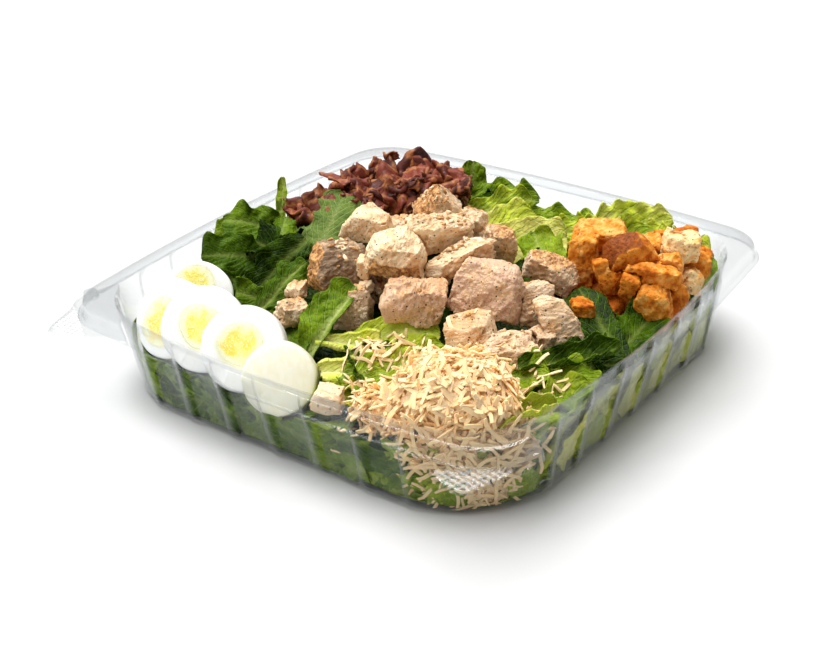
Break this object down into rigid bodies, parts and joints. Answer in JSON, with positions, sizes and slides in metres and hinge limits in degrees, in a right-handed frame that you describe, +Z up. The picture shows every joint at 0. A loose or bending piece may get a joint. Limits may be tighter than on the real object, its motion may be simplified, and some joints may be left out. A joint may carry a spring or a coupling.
{
  "type": "chicken caesar salad in a clear tray",
  "caption": "Chicken caesar salad with sliced egg, chopped chicken, croutons, bacon and grated cheese on lettuce, in a clear ribbed take-away tray.",
  "frame": {"origin": "centre of the flat base of the tray, on the surface it stands on", "axes": "+Z up; -Y towards the opening edge with the two pull tabs; +X to the right when looking at that edge"},
  "size_m": [0.2378, 0.2443, 0.0805],
  "materials": {
    "clear_sheet": "thin clear formed sheet, glossy, with ribbed walls and a knurled grip on each pull tab",
    "leaf": "cos lettuce, dark glossy veined outer leaves and pale yellow-green ribs and hearts",
    "chicken": "cooked chopped chicken breast, moist fibrous cut faces with browned edges, pepper and herb specks",
    "crouton": "toasted bread cubes, porous and dry, golden to dark brown",
    "bacon": "crisp crumbled bacon, dark red-brown lean with tan fat, slightly greasy",
    "cheese": "hard cheese grated into thin curved shreds",
    "egg_white": "firm boiled egg white, smooth and moist with faint cutting lines",
    "egg_yolk": "boiled egg yolk, fine crumbly grain"
  },
  "bodies": {
    "root": {"tray": "clear_sheet", "egg_white_1": "egg_white", "egg_white_2": "egg_white", "egg_yolk_2": "egg_yolk", "egg_white_3": "egg_white", "egg_yolk_3": "egg_yolk", "egg_white_4": "egg_white", "egg_yolk_4": "egg_yolk", "egg_white_5": "egg_white", "egg_yolk_5": "egg_yolk", "chicken_01": "chicken", "chicken_02": "chicken", "chicken_03": "chicken", "chicken_04": "chicken", "chicken_05": "chicken", "chicken_06": "chicken", "chicken_07": "chicken", "chicken_08": "chicken", "chicken_09": "chicken", "chicken_10": "chicken", "chicken_11": "chicken", "chicken_12": "chicken", "chicken_13": "chicken", "chicken_14": "chicken", "chicken_15": "chicken", "chicken_16": "chicken", "chicken_17": "chicken", "chicken_18": "chicken", "chicken_19": "chicken", "chicken_20": "chicken", "chicken_21": "chicken", "chicken_22": "chicken", "chicken_23": "chicken", "crouton_01": "crouton", "crouton_02": "crouton", "crouton_03": "crouton", "crouton_04": "crouton", "crouton_05": "crouton", "crouton_06": "crouton", "crouton_07": "crouton", "crouton_08": "crouton", "crouton_09": "crouton", "crouton_10": "crouton", "crouton_11": "crouton", "crouton_12": "crouton", "crouton_13": "crouton", "crouton_14": "crouton", "crouton_15": "crouton", "crouton_16": "crouton", "bacon": "bacon", "cheese": "cheese", "lettuce": "leaf"}
  },
  "joints": []
}
